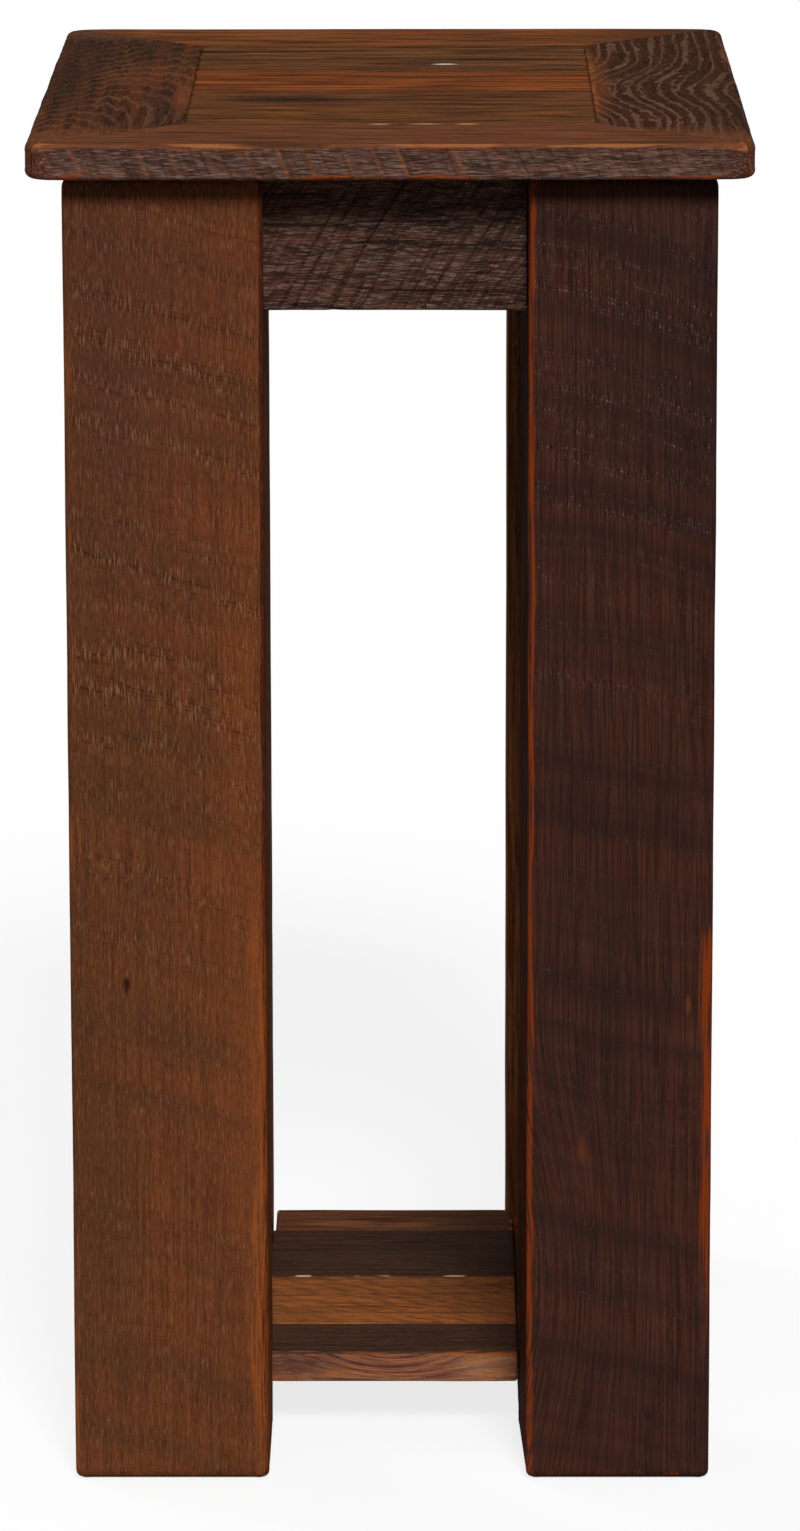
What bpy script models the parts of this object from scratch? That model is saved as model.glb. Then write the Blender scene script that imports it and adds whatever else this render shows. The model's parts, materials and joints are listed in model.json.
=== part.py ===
"""Rustic nightstand of reclaimed timber: a framed plank top on four posts, with a low shelf.

Metres. X runs across the width, -Y is the front and Z is up from the floor, which is at zero.
"""

import math

import bmesh
import bpy
from mathutils import Matrix, Vector

# Fits
FIT = 0.0003           # gap between two pieces that touch
OVERCUT = 0.002        # how far a cut runs past the face that it opens
ARRIS_SEGMENTS = 2     # facets across an eased edge
CORNER_SEGMENTS = 4    # facets round a corner of the top
ROUND = 0.5            # a bevel's profile as a part of a circle
SMOOTH_ANGLE = math.radians(30)
MITRE_ANGLE = math.radians(45)

# Top
HEIGHT = 0.684
TOP_WIDTH = 0.356
TOP_DEPTH = 0.457
TOP_THICKNESS = 0.018
TOP_OVERHANG = 0.0175  # past the legs, on all four sides
TOP_CORNER_RADIUS = 0.009
TOP_ARRIS = 0.003
FRAME_BOARD_WIDTH = 0.076
PANEL_PLANK_PROPORTIONS = (65, 60, 71, 63, 46)  # plank widths to each other, front to back
SPLINE_LENGTH = 0.060
SPLINE_WIDTH = 0.024
SPLINE_THICKNESS = 0.004

# Legs: posts of uneven section, all flush with the outer faces of the base
FRONT_LEFT_LEG_WIDTH = 0.0985
FRONT_RIGHT_LEG_WIDTH = 0.0945
BACK_LEFT_LEG_WIDTH = 0.0923
BACK_RIGHT_LEG_WIDTH = 0.0995
FRONT_LEG_DEPTH = 0.086
BACK_LEG_DEPTH = 0.090
LEG_ARRIS = 0.003      # along the posts and round their feet

# Aprons, tenoned into the legs
APRON_HEIGHT = 0.0685
APRON_THICKNESS = 0.022
APRON_SETBACK = 0.014  # behind the outer faces of the legs
APRON_TENON_LENGTH = 0.030
APRON_TENON_THICKNESS = 0.010
APRON_TENON_SHOULDER = 0.010  # above and below the tenon

# Shelf: planks with tongues in the grooves of two rails
SHELF_TOP_HEIGHT = 0.0436
SHELF_FRONT_LAP = 0.0075  # forward of the front legs' back faces
SHELF_BACK_LAP = 0.0115   # behind the back legs' front faces
SHELF_THICKNESS = 0.0162
SHELF_PLANK_PROPORTIONS = (51, 86, 88, 40)  # plank widths to each other, front to back
TONGUE_LENGTH = 0.006
TONGUE_THICKNESS = 0.006
TONGUE_EDGE_SETBACK = 0.004  # from a plank's long edges to its tongue
RAIL_HEIGHT = 0.032
RAIL_THICKNESS = 0.024
RAIL_PROUD = 0.0013    # rail's inner face past the slimmer leg's inner face
RAIL_TENON_LENGTH = 0.025
RAIL_TENON_THICKNESS = 0.010
RAIL_TENON_SHOULDER = 0.006

# Battens and cleats under the top, and their screws
BATTEN_WIDTH = 0.040
BATTEN_THICKNESS = 0.020
BATTEN_LEG_CLEARANCE = 0.004
CLEAT_SIZE = 0.022
CLEAT_SCREWS_UP = 3    # into the top, along each cleat
CLEAT_SCREWS_ACROSS = 2  # into the side apron, along each cleat
SCREW_LENGTH = 0.030
SCREW_RADIUS = 0.002
SCREW_HEAD_RADIUS = 0.004
SCREW_HEAD_HEIGHT = 0.0025
SCREW_POINT_LENGTH = 0.003
SCREW_POINT_RADIUS = 0.0006
SCREW_SINK = 0.0005    # head below the wood's surface
SCREW_EDGE_MARGIN = 0.008  # least wood beside a screw
SCREW_SIDES = 10

# Heights and outlines that follow from the sizes above
BASE_HALF_WIDTH = TOP_WIDTH / 2 - TOP_OVERHANG
BASE_HALF_DEPTH = TOP_DEPTH / 2 - TOP_OVERHANG
PANEL_HALF_WIDTH = TOP_WIDTH / 2 - FRAME_BOARD_WIDTH
PANEL_HALF_DEPTH = TOP_DEPTH / 2 - FRAME_BOARD_WIDTH
UNDERSIDE = HEIGHT - TOP_THICKNESS
BASE_TOP = UNDERSIDE - FIT
LEFT, RIGHT = -1, 1
FRONT, BACK = -1, 1

# Each leg: its side, its end, its width and its depth
LEGS = {
    "leg_front_left": (LEFT, FRONT, FRONT_LEFT_LEG_WIDTH, FRONT_LEG_DEPTH),
    "leg_front_right": (RIGHT, FRONT, FRONT_RIGHT_LEG_WIDTH, FRONT_LEG_DEPTH),
    "leg_back_left": (LEFT, BACK, BACK_LEFT_LEG_WIDTH, BACK_LEG_DEPTH),
    "leg_back_right": (RIGHT, BACK, BACK_RIGHT_LEG_WIDTH, BACK_LEG_DEPTH),
}
SIDE_NAMES = {LEFT: "left", RIGHT: "right"}
END_NAMES = {FRONT: "front", BACK: "back"}

# Finishes: sRGB colour of the lacquered wood, or of the screws' zinc
COLOURS = {
    "top_front_board": "6B3F25",
    "top_back_board": "69401F",
    "top_left_board": "4A2E20",
    "top_right_board": "482C20",
    "top_plank_1": "5C3A22",
    "top_plank_2": "4F3521",
    "top_plank_3": "70401F",
    "top_plank_4": "5A3A21",
    "top_plank_5": "66431F",
    "leg_front_left": "5A3423",
    "leg_front_right": "382520",
    "leg_back_left": "4A2E20",
    "leg_back_right": "3E2318",
    "apron_front": "45302A",
    "shelf_plank_1": "5A3B2C",
    "shelf_plank_2": "6A4320",
    "shelf_plank_3": "33221A",
    "shelf_plank_4": "4A3020",
}
PLAIN_WOOD = "5A3F2C"
ZINC = "9A9A96"
LACQUER_ROUGHNESS = 0.5
ZINC_ROUGHNESS = 0.35


def clear_scene():
    """Remove every object that the file opened with."""
    for old in list(bpy.data.objects):
        bpy.data.objects.remove(old, do_unlink=True)


def linear(hex_colour):
    """Turn an sRGB hex colour into linear RGBA."""
    channels = [int(hex_colour[i:i + 2], 16) / 255 for i in (0, 2, 4)]
    return [c / 12.92 if c <= 0.04045 else ((c + 0.055) / 1.055) ** 2.4 for c in channels] + [1.0]


def finish(name, hex_colour, roughness, metallic):
    """A Principled material for one piece."""
    material = bpy.data.materials.new(name)
    material.use_nodes = True
    shader = material.node_tree.nodes["Principled BSDF"]
    shader.inputs["Base Color"].default_value = linear(hex_colour)
    shader.inputs["Roughness"].default_value = roughness
    shader.inputs["Metallic"].default_value = metallic
    return material


def add_object(name, bm):
    """Make an object from a mesh built in place, with its origin at the middle of its box."""
    low = Vector([min(v.co[i] for v in bm.verts) for i in range(3)])
    high = Vector([max(v.co[i] for v in bm.verts) for i in range(3)])
    centre = (low + high) / 2
    bmesh.ops.translate(bm, verts=bm.verts, vec=-centre)
    bmesh.ops.recalc_face_normals(bm, faces=bm.faces)
    mesh = bpy.data.meshes.new(name)
    bm.to_mesh(mesh)
    bm.free()
    piece = bpy.data.objects.new(name, mesh)
    piece.location = centre
    bpy.context.collection.objects.link(piece)
    return piece


def add_wood(name, bm, stand):
    """A wooden piece of the nightstand."""
    piece = add_object(name, bm)
    piece.data.materials.append(finish(name, COLOURS.get(name, PLAIN_WOOD), LACQUER_ROUGHNESS, 0.0))
    piece.parent = stand
    return piece


def add_copy(name, mesh, place, stand):
    """One more piece with a mesh that it shares, placed and turned by a matrix."""
    piece = bpy.data.objects.new(name, mesh)
    piece.matrix_world = place
    piece.parent = stand
    bpy.context.collection.objects.link(piece)
    return piece


def add_cutter(name, bm, stand):
    """A shape that only cuts other pieces."""
    cutter = add_object(name, bm)
    cutter.hide_render = True
    cutter.display_type = "WIRE"
    cutter.parent = stand
    return cutter


def cut(piece, cutter):
    """Cut one piece by another object."""
    modifier = piece.modifiers.new(cutter.name, "BOOLEAN")
    modifier.operation = "DIFFERENCE"
    modifier.solver = "EXACT"
    modifier.object = cutter


def grown(span, amount):
    """A span made longer at both ends."""
    return (span[0] - amount, span[1] + amount)


def middle(span):
    """The middle of a span."""
    return (span[0] + span[1]) / 2


def inward_span(outer, size, side):
    """A span that starts at an outer face on the given side and runs inward."""
    return tuple(sorted((outer, outer - side * size)))


def add_box(bm, x_span, y_span, z_span):
    """Add a box to a mesh."""
    spans = (x_span, y_span, z_span)
    place = Matrix.Translation([middle(s) for s in spans])
    sizes = Matrix.Diagonal([s[1] - s[0] for s in spans] + [1])
    bmesh.ops.create_cube(bm, size=1, matrix=place @ sizes)


def ease(bm, edges, size, segments):
    """Round edges off."""
    bmesh.ops.bevel(bm, geom=edges, offset=size, segments=segments, profile=ROUND, affect="EDGES")


def lofted_bar(along, sections):
    """A closed bar through rectangles on one level axis, 0 for X or 1 for Y.

    Each section gives its place on that axis, its span on the other level axis and its span in height.
    """
    bm = bmesh.new()
    rings = []
    for place, across, height in sections:
        corners = [(across[i], height[j]) for i, j in ((0, 0), (1, 0), (1, 1), (0, 1))]
        points = [(place, a, z) if along == 0 else (a, place, z) for a, z in corners]
        rings.append([bm.verts.new(point) for point in points])
    for near, far in zip(rings, rings[1:]):
        for i in range(4):
            j = (i + 1) % 4
            bm.faces.new((near[i], near[j], far[j], far[i]))
    bm.faces.new(rings[0])
    bm.faces.new(rings[-1])
    return bm


def shares(proportions, span):
    """Split a span into neighbouring spans in the given proportions."""
    scale = (span[1] - span[0]) / sum(proportions)
    spans = []
    start = span[0]
    for proportion in proportions:
        spans.append((start, start + proportion * scale))
        start += proportion * scale
    return spans


def leg_spans():
    """Each leg's span in X and in Y."""
    spans = {}
    for name, (side, end, width, depth) in LEGS.items():
        x_span = inward_span(side * BASE_HALF_WIDTH, width, side)
        y_span = inward_span(end * BASE_HALF_DEPTH, depth, end)
        spans[name] = (x_span, y_span)
    return spans


def level_gap(legs, end):
    """The span in X between the two legs at one end."""
    name = END_NAMES[end]
    return (legs[f"leg_{name}_left"][0][1], legs[f"leg_{name}_right"][0][0])


def side_gap(legs, side):
    """The span in Y between the two legs at one side."""
    name = SIDE_NAMES[side]
    return (legs[f"leg_front_{name}"][1][1], legs[f"leg_back_{name}"][1][0])


def make_legs(legs, tenon_room, stand):
    """Four posts with eased arrises, mortised for the aprons and the shelf rails."""
    for name, (x_span, y_span) in legs.items():
        bm = bmesh.new()
        add_box(bm, x_span, y_span, (0, BASE_TOP))
        eased = [e for e in bm.edges if min(v.co.z for v in e.verts) < FIT]
        ease(bm, eased, LEG_ARRIS, ARRIS_SEGMENTS)
        cut(add_wood(name, bm, stand), tenon_room)


def tenoned_bar(along, gap, across, height, tenon_length, tenon_thickness, shoulder):
    """A bar that fills a gap between two legs, with a tenon at each end.

    Returns its mesh and the spans of its two tenons on the axis that it runs along.
    """
    body = grown(gap, -FIT)
    tip = grown(body, tenon_length)
    tenon_across = (middle(across) - tenon_thickness / 2, middle(across) + tenon_thickness / 2)
    tenon_height = grown(height, -shoulder)
    bm = lofted_bar(along, [
        (tip[0], tenon_across, tenon_height),
        (body[0], tenon_across, tenon_height),
        (body[0], across, height),
        (body[1], across, height),
        (body[1], tenon_across, tenon_height),
        (tip[1], tenon_across, tenon_height),
    ])
    return bm, [(span, tenon_across, tenon_height) for span in ((tip[0], body[0]), (body[1], tip[1]))]


def add_tenon_room(bm, along, tenons):
    """Add the clearance boxes of a bar's tenons to the mesh that cuts the legs."""
    for outward, (place, across, height) in zip((LEFT, RIGHT), tenons):
        length = grown(place, FIT)
        length = (length[0], length[1] + OVERCUT) if outward == LEFT else (length[0] - OVERCUT, length[1])
        if along == 0:
            add_box(bm, length, grown(across, FIT), grown(height, FIT))
        else:
            add_box(bm, grown(across, FIT), length, grown(height, FIT))


def apron_face(half_size, side):
    """An apron's span across its thickness, set back from the base's outer face."""
    return inward_span(side * (half_size - APRON_SETBACK), APRON_THICKNESS, side)


def make_aprons(legs, tenon_boxes, screw_room, stand):
    """Front, back and side aprons, each with a tenon in the leg at either end."""
    height = (BASE_TOP - APRON_HEIGHT, BASE_TOP)
    tenon = (APRON_TENON_LENGTH, APRON_TENON_THICKNESS, APRON_TENON_SHOULDER)
    for end in (FRONT, BACK):
        bm, tenons = tenoned_bar(0, level_gap(legs, end), apron_face(BASE_HALF_DEPTH, end), height, *tenon)
        add_tenon_room(tenon_boxes, 0, tenons)
        add_wood(f"apron_{END_NAMES[end]}", bm, stand)
    for side in (LEFT, RIGHT):
        bm, tenons = tenoned_bar(1, side_gap(legs, side), apron_face(BASE_HALF_WIDTH, side), height, *tenon)
        add_tenon_room(tenon_boxes, 1, tenons)
        cut(add_wood(f"apron_{SIDE_NAMES[side]}", bm, stand), screw_room)


def rail_faces(legs):
    """The inner face of each shelf rail in X, by side."""
    left = min(level_gap(legs, FRONT)[0], level_gap(legs, BACK)[0]) + RAIL_PROUD
    right = max(level_gap(legs, FRONT)[1], level_gap(legs, BACK)[1]) - RAIL_PROUD
    return {LEFT: left, RIGHT: right}


def tongue_height():
    """The shelf tongues' span in height, in the middle of the planks' thickness."""
    centre = SHELF_TOP_HEIGHT - SHELF_THICKNESS / 2
    return (centre - TONGUE_THICKNESS / 2, centre + TONGUE_THICKNESS / 2)


def make_shelf(legs, tenon_boxes, stand):
    """Two grooved rails between the legs, and the planks whose tongues sit in the grooves."""
    faces = rail_faces(legs)
    rail_height = (SHELF_TOP_HEIGHT - RAIL_HEIGHT, SHELF_TOP_HEIGHT)
    tenon = (RAIL_TENON_LENGTH, RAIL_TENON_THICKNESS, RAIL_TENON_SHOULDER)
    groove_boxes = bmesh.new()
    rails = []
    for side, face in faces.items():
        gap = side_gap(legs, side)
        across = inward_span(face + side * RAIL_THICKNESS, RAIL_THICKNESS, side)
        bm, tenons = tenoned_bar(1, gap, across, rail_height, *tenon)
        add_tenon_room(tenon_boxes, 1, tenons)
        rails.append(add_wood(f"shelf_rail_{SIDE_NAMES[side]}", bm, stand))
        groove_bottom = face + side * (TONGUE_LENGTH + FIT)
        groove = inward_span(groove_bottom, TONGUE_LENGTH + FIT + OVERCUT, side)
        add_box(groove_boxes, groove, grown(gap, OVERCUT), grown(tongue_height(), FIT))
    grooves = add_cutter("shelf_grooves", groove_boxes, stand)
    for rail in rails:
        cut(rail, grooves)

    leg_boxes = bmesh.new()
    for x_span, y_span in legs.values():
        add_box(leg_boxes, grown(x_span, FIT), grown(y_span, FIT), (-OVERCUT, BASE_TOP))
    leg_room = add_cutter("leg_room", leg_boxes, stand)
    make_shelf_planks(legs, faces, leg_room, stand)


def make_shelf_planks(legs, faces, leg_room, stand):
    """Shelf planks from rail to rail, notched where they meet a leg."""
    ends = (faces[LEFT] + FIT, faces[RIGHT] - FIT)
    height = (SHELF_TOP_HEIGHT - SHELF_THICKNESS, SHELF_TOP_HEIGHT)
    bay = side_gap(legs, LEFT)
    depths = shares(SHELF_PLANK_PROPORTIONS, (bay[0] - SHELF_FRONT_LAP, bay[1] + SHELF_BACK_LAP))
    for number, depth in enumerate(depths, start=1):
        depth = grown(depth, -FIT / 2)
        sections = [(ends[0], depth, height), (ends[1], depth, height)]
        for side in (LEFT, RIGHT):
            room = grown(side_gap(legs, side), -FIT)
            low = max(depth[0] + TONGUE_EDGE_SETBACK, room[0])
            high = min(depth[1] - TONGUE_EDGE_SETBACK, room[1])
            if high <= low:
                continue
            root = ends[0] if side == LEFT else ends[1]
            tip = root + side * (TONGUE_LENGTH + FIT)
            tongue = [(tip, (low, high), tongue_height()), (root, (low, high), tongue_height())]
            sections = tongue + sections if side == LEFT else sections + tongue[::-1]
        cut(add_wood(f"shelf_plank_{number}", lofted_bar(0, sections), stand), leg_room)


def top_slab():
    """The whole top as one slab with rounded corners and eased arrises."""
    bm = bmesh.new()
    half_width, half_depth = TOP_WIDTH / 2, TOP_DEPTH / 2
    add_box(bm, (-half_width, half_width), (-half_depth, half_depth), (UNDERSIDE, HEIGHT))
    upright = [e for e in bm.edges if abs(e.verts[0].co.z - e.verts[1].co.z) > TOP_THICKNESS / 2]
    ease(bm, upright, TOP_CORNER_RADIUS, CORNER_SEGMENTS)
    rim = [e for e in bm.edges if abs(e.verts[0].co.z - e.verts[1].co.z) < TOP_THICKNESS / 2]
    ease(bm, rim, TOP_ARRIS, ARRIS_SEGMENTS)
    return bm


def keep(bm, point, normal):
    """Keep the part of a solid on one side of a plane, set back by half a fit, and close it."""
    normal = Vector(normal).normalized()
    place = Vector(point) + normal * FIT / 2
    geometry = list(bm.verts) + list(bm.edges) + list(bm.faces)
    bmesh.ops.bisect_plane(bm, geom=geometry, plane_co=place, plane_no=normal, clear_inner=True)
    bmesh.ops.holes_fill(bm, edges=[e for e in bm.edges if e.is_boundary], sides=0)


def make_frame_boards(stand):
    """Four boards round the top, mitred at its corners."""
    boards = []
    for end in (FRONT, BACK):
        bm = top_slab()
        keep(bm, (0, end * PANEL_HALF_DEPTH, 0), (0, end, 0))
        for side in (LEFT, RIGHT):
            keep(bm, (side * PANEL_HALF_WIDTH, end * PANEL_HALF_DEPTH, 0), (-side, end, 0))
        boards.append(add_wood(f"top_{END_NAMES[end]}_board", bm, stand))
    for side in (LEFT, RIGHT):
        bm = top_slab()
        keep(bm, (side * PANEL_HALF_WIDTH, 0, 0), (side, 0, 0))
        for end in (FRONT, BACK):
            keep(bm, (side * PANEL_HALF_WIDTH, end * PANEL_HALF_DEPTH, 0), (side, -end, 0))
        boards.append(add_wood(f"top_{SIDE_NAMES[side]}_board", bm, stand))
    return boards


def spline_mesh():
    """The mesh that the mitre splines share, round its own middle."""
    bm = bmesh.new()
    sizes = (SPLINE_LENGTH, SPLINE_WIDTH, SPLINE_THICKNESS)
    bmesh.ops.create_cube(bm, size=1, matrix=Matrix.Diagonal((*sizes, 1)))
    mesh = bpy.data.meshes.new("mitre_spline")
    bm.to_mesh(mesh)
    bm.free()
    mesh.materials.append(finish("mitre_spline", PLAIN_WOOD, LACQUER_ROUGHNESS, 0.0))
    return mesh


def make_splines(boards, stand):
    """A loose spline across each mitre, in a slot cut into both boards."""
    mesh = spline_mesh()
    slots = bmesh.new()
    slot_sizes = [size + 2 * FIT for size in (SPLINE_LENGTH, SPLINE_WIDTH, SPLINE_THICKNESS)]
    for end in (FRONT, BACK):
        for side in (LEFT, RIGHT):
            x = side * (TOP_WIDTH - FRAME_BOARD_WIDTH) / 2
            y = end * (TOP_DEPTH - FRAME_BOARD_WIDTH) / 2
            turn = Matrix.Rotation(side * end * MITRE_ANGLE, 4, "Z")
            place = Matrix.Translation((x, y, middle((UNDERSIDE, HEIGHT)))) @ turn
            add_copy(f"mitre_spline_{END_NAMES[end]}_{SIDE_NAMES[side]}", mesh, place, stand)
            bmesh.ops.create_cube(slots, size=1, matrix=place @ Matrix.Diagonal((*slot_sizes, 1)))
    slot_cutter = add_cutter("spline_slots", slots, stand)
    for board in boards:
        cut(board, slot_cutter)


def panel_spans():
    """The panel planks' spans in Y, front to back."""
    return shares(PANEL_PLANK_PROPORTIONS, (-PANEL_HALF_DEPTH, PANEL_HALF_DEPTH))


def make_panel_planks(stand):
    """Planks that fill the frame, butted edge to edge."""
    planks = []
    for number, (low, high) in enumerate(panel_spans(), start=1):
        bm = top_slab()
        keep(bm, (0, low, 0), (0, 1, 0))
        keep(bm, (0, high, 0), (0, -1, 0))
        for side in (LEFT, RIGHT):
            keep(bm, (side * PANEL_HALF_WIDTH, 0, 0), (-side, 0, 0))
        planks.append(add_wood(f"top_plank_{number}", bm, stand))
    return planks


def add_turned(bm, profile, place):
    """Add a closed turned body: profile gives (distance along its axis, radius), place its matrix."""
    angles = [2 * math.pi * i / SCREW_SIDES for i in range(SCREW_SIDES)]
    rings = []
    for along, radius in profile:
        points = [Vector((radius * math.cos(a), radius * math.sin(a), along)) for a in angles]
        rings.append([bm.verts.new(place @ point) for point in points])
    for near, far in zip(rings, rings[1:]):
        for i in range(SCREW_SIDES):
            j = (i + 1) % SCREW_SIDES
            bm.faces.new((near[i], near[j], far[j], far[i]))
    bm.faces.new(rings[0])
    bm.faces.new(rings[-1])


def screw_mesh():
    """The mesh that the screws share: countersunk head at zero, point along +Z."""
    bm = bmesh.new()
    add_turned(bm, [
        (0, SCREW_HEAD_RADIUS),
        (SCREW_HEAD_HEIGHT, SCREW_RADIUS),
        (SCREW_LENGTH - SCREW_POINT_LENGTH, SCREW_RADIUS),
        (SCREW_LENGTH, SCREW_POINT_RADIUS),
    ], Matrix.Identity(4))
    bmesh.ops.recalc_face_normals(bm, faces=bm.faces)
    mesh = bpy.data.meshes.new("wood_screw")
    bm.to_mesh(mesh)
    bm.free()
    mesh.shade_smooth()
    mesh.set_sharp_from_angle(angle=SMOOTH_ANGLE)
    mesh.materials.append(finish("wood_screw", ZINC, ZINC_ROUGHNESS, 1.0))
    return mesh


def add_screw(name, mesh, room, start, direction, stand):
    """Add a screw with its head sunk below start, and its clearance hole, which opens at the head."""
    turn = Vector(direction).to_track_quat("Z", "Y").to_matrix().to_4x4()
    place = Matrix.Translation(start) @ turn @ Matrix.Translation((0, 0, SCREW_SINK))
    add_copy(name, mesh, place, stand)
    add_turned(room, [
        (-OVERCUT, SCREW_HEAD_RADIUS + FIT),
        (0, SCREW_HEAD_RADIUS + FIT),
        (SCREW_HEAD_HEIGHT, SCREW_RADIUS + FIT),
        (SCREW_LENGTH + FIT, SCREW_RADIUS + FIT),
    ], place)


def make_battens(legs, screw, screw_room_mesh, stand):
    """Two battens across the planks, clear of the legs, screwed up into every plank."""
    half_length = BASE_HALF_DEPTH - APRON_SETBACK - APRON_THICKNESS - FIT
    height = (BASE_TOP - BATTEN_THICKNESS, BASE_TOP)
    left_edge = max(level_gap(legs, FRONT)[0], level_gap(legs, BACK)[0]) + BATTEN_LEG_CLEARANCE
    right_edge = min(level_gap(legs, FRONT)[1], level_gap(legs, BACK)[1]) - BATTEN_LEG_CLEARANCE
    battens = []
    for side, edge in ((LEFT, left_edge), (RIGHT, right_edge)):
        across = inward_span(edge, BATTEN_WIDTH, side)
        bm = bmesh.new()
        add_box(bm, across, (-half_length, half_length), height)
        battens.append(add_wood(f"top_batten_{SIDE_NAMES[side]}", bm, stand))
        for number, (low, high) in enumerate(panel_spans(), start=1):
            crossing = (max(low, -half_length), min(high, half_length))
            if crossing[1] - crossing[0] > 2 * SCREW_EDGE_MARGIN:
                start = (middle(across), middle(crossing), height[0])
                name = f"batten_screw_{SIDE_NAMES[side]}_{number}"
                add_screw(name, screw, screw_room_mesh, start, (0, 0, 1), stand)
    return battens


def spread(span, count):
    """Evenly spaced places along a span, half a step from its ends."""
    step = (span[1] - span[0]) / count
    return [span[0] + (i + 0.5) * step for i in range(count)]


def make_cleats(legs, screw, screw_room_mesh, stand):
    """Two cleats in the corner of side apron and top, screwed to both."""
    height = (BASE_TOP - CLEAT_SIZE, BASE_TOP)
    cleats = []
    for side in (LEFT, RIGHT):
        apron = apron_face(BASE_HALF_WIDTH, side)
        against = apron[1] if side == LEFT else apron[0]
        across = inward_span(against - side * FIT, CLEAT_SIZE, side)
        length = grown(side_gap(legs, side), -FIT)
        bm = bmesh.new()
        add_box(bm, across, length, height)
        cleats.append(add_wood(f"top_cleat_{SIDE_NAMES[side]}", bm, stand))
        for number, y in enumerate(spread(length, CLEAT_SCREWS_UP), start=1):
            name = f"cleat_screw_{SIDE_NAMES[side]}_up_{number}"
            add_screw(name, screw, screw_room_mesh, (middle(across), y, height[0]), (0, 0, 1), stand)
        inner_face = across[1] if side == LEFT else across[0]
        for number, y in enumerate(spread(length, CLEAT_SCREWS_ACROSS), start=1):
            name = f"cleat_screw_{SIDE_NAMES[side]}_across_{number}"
            add_screw(name, screw, screw_room_mesh, (inner_face, y, middle(height)), (side, 0, 0), stand)
    return cleats


def build():
    """Model every piece of the nightstand."""
    clear_scene()
    stand = bpy.data.objects.new("nightstand", None)
    bpy.context.collection.objects.link(stand)
    legs = leg_spans()

    boards = make_frame_boards(stand)
    planks = make_panel_planks(stand)
    make_splines(boards, stand)

    screw = screw_mesh()
    screw_room_mesh = bmesh.new()
    battens = make_battens(legs, screw, screw_room_mesh, stand)
    cleats = make_cleats(legs, screw, screw_room_mesh, stand)
    screw_room = add_cutter("screw_room", screw_room_mesh, stand)
    for piece in boards + planks + battens + cleats:
        cut(piece, screw_room)

    tenon_boxes = bmesh.new()
    make_aprons(legs, tenon_boxes, screw_room, stand)
    make_shelf(legs, tenon_boxes, stand)
    make_legs(legs, add_cutter("tenon_room", tenon_boxes, stand), stand)


build()
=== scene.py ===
"""Looks of a rustic nightstand: rough-sawn reclaimed oak under a dark satin lacquer.

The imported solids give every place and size. Each post, board, plank, apron and rail is rebuilt here as a bar
of timber with worn edges, saw marks and uneven faces. The fixings under the top keep their solids.
"""

import itertools
import json
import math
from dataclasses import dataclass, replace
from functools import partial

import bpy
import numpy as np
from mathutils import Matrix, Vector


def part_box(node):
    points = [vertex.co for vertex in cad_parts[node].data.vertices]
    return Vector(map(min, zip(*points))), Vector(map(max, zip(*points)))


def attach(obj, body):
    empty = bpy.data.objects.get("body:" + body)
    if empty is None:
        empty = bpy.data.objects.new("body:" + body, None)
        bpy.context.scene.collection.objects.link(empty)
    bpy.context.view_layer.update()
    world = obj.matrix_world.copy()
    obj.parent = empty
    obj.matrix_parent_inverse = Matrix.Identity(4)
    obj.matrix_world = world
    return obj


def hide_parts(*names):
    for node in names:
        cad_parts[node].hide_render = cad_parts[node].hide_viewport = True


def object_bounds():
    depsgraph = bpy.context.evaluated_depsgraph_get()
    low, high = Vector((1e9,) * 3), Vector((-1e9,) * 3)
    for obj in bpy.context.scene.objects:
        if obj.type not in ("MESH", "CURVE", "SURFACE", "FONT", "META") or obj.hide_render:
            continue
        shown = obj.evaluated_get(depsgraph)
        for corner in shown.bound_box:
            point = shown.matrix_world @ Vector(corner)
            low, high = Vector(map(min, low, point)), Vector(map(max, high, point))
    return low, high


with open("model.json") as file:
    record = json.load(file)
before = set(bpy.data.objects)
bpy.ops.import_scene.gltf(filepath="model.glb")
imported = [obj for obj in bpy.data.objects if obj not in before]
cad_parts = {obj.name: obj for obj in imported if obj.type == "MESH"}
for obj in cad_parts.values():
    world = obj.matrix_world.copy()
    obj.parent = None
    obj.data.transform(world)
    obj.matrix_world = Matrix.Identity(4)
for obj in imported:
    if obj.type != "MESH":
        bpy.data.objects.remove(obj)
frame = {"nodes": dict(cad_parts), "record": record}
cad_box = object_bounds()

MM = 0.001
X, Y, Z = 0, 1, 2

# Joints and edges, in metres
HOUSING = 1.5 * MM            # how far a bar runs into the post that holds it
SEAM = 0.1 * MM               # half of the gap between two boards of the top
TOP_CORNER_RADIUS = 13 * MM
EVEN_END = 25 * MM            # stretch in which an edge comes to its own radius towards an end

# Mesh of a bar
ARRIS_STEPS = 5               # spans round a worn edge
END_STEPS = 4                 # and round the edge of an end
EDGE_SPAN = 0.3               # span beside a worn edge, as a part of the others
RING_SPAN = 3                 # spans between the rings of an end, as a multiple of the others
LEAST_RINGS = 3
END_FACE = 4                  # number of the ends, after the four long faces
INSIDE = 50.0                 # distance from the long edges that an end's points are given, in millimetres

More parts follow.
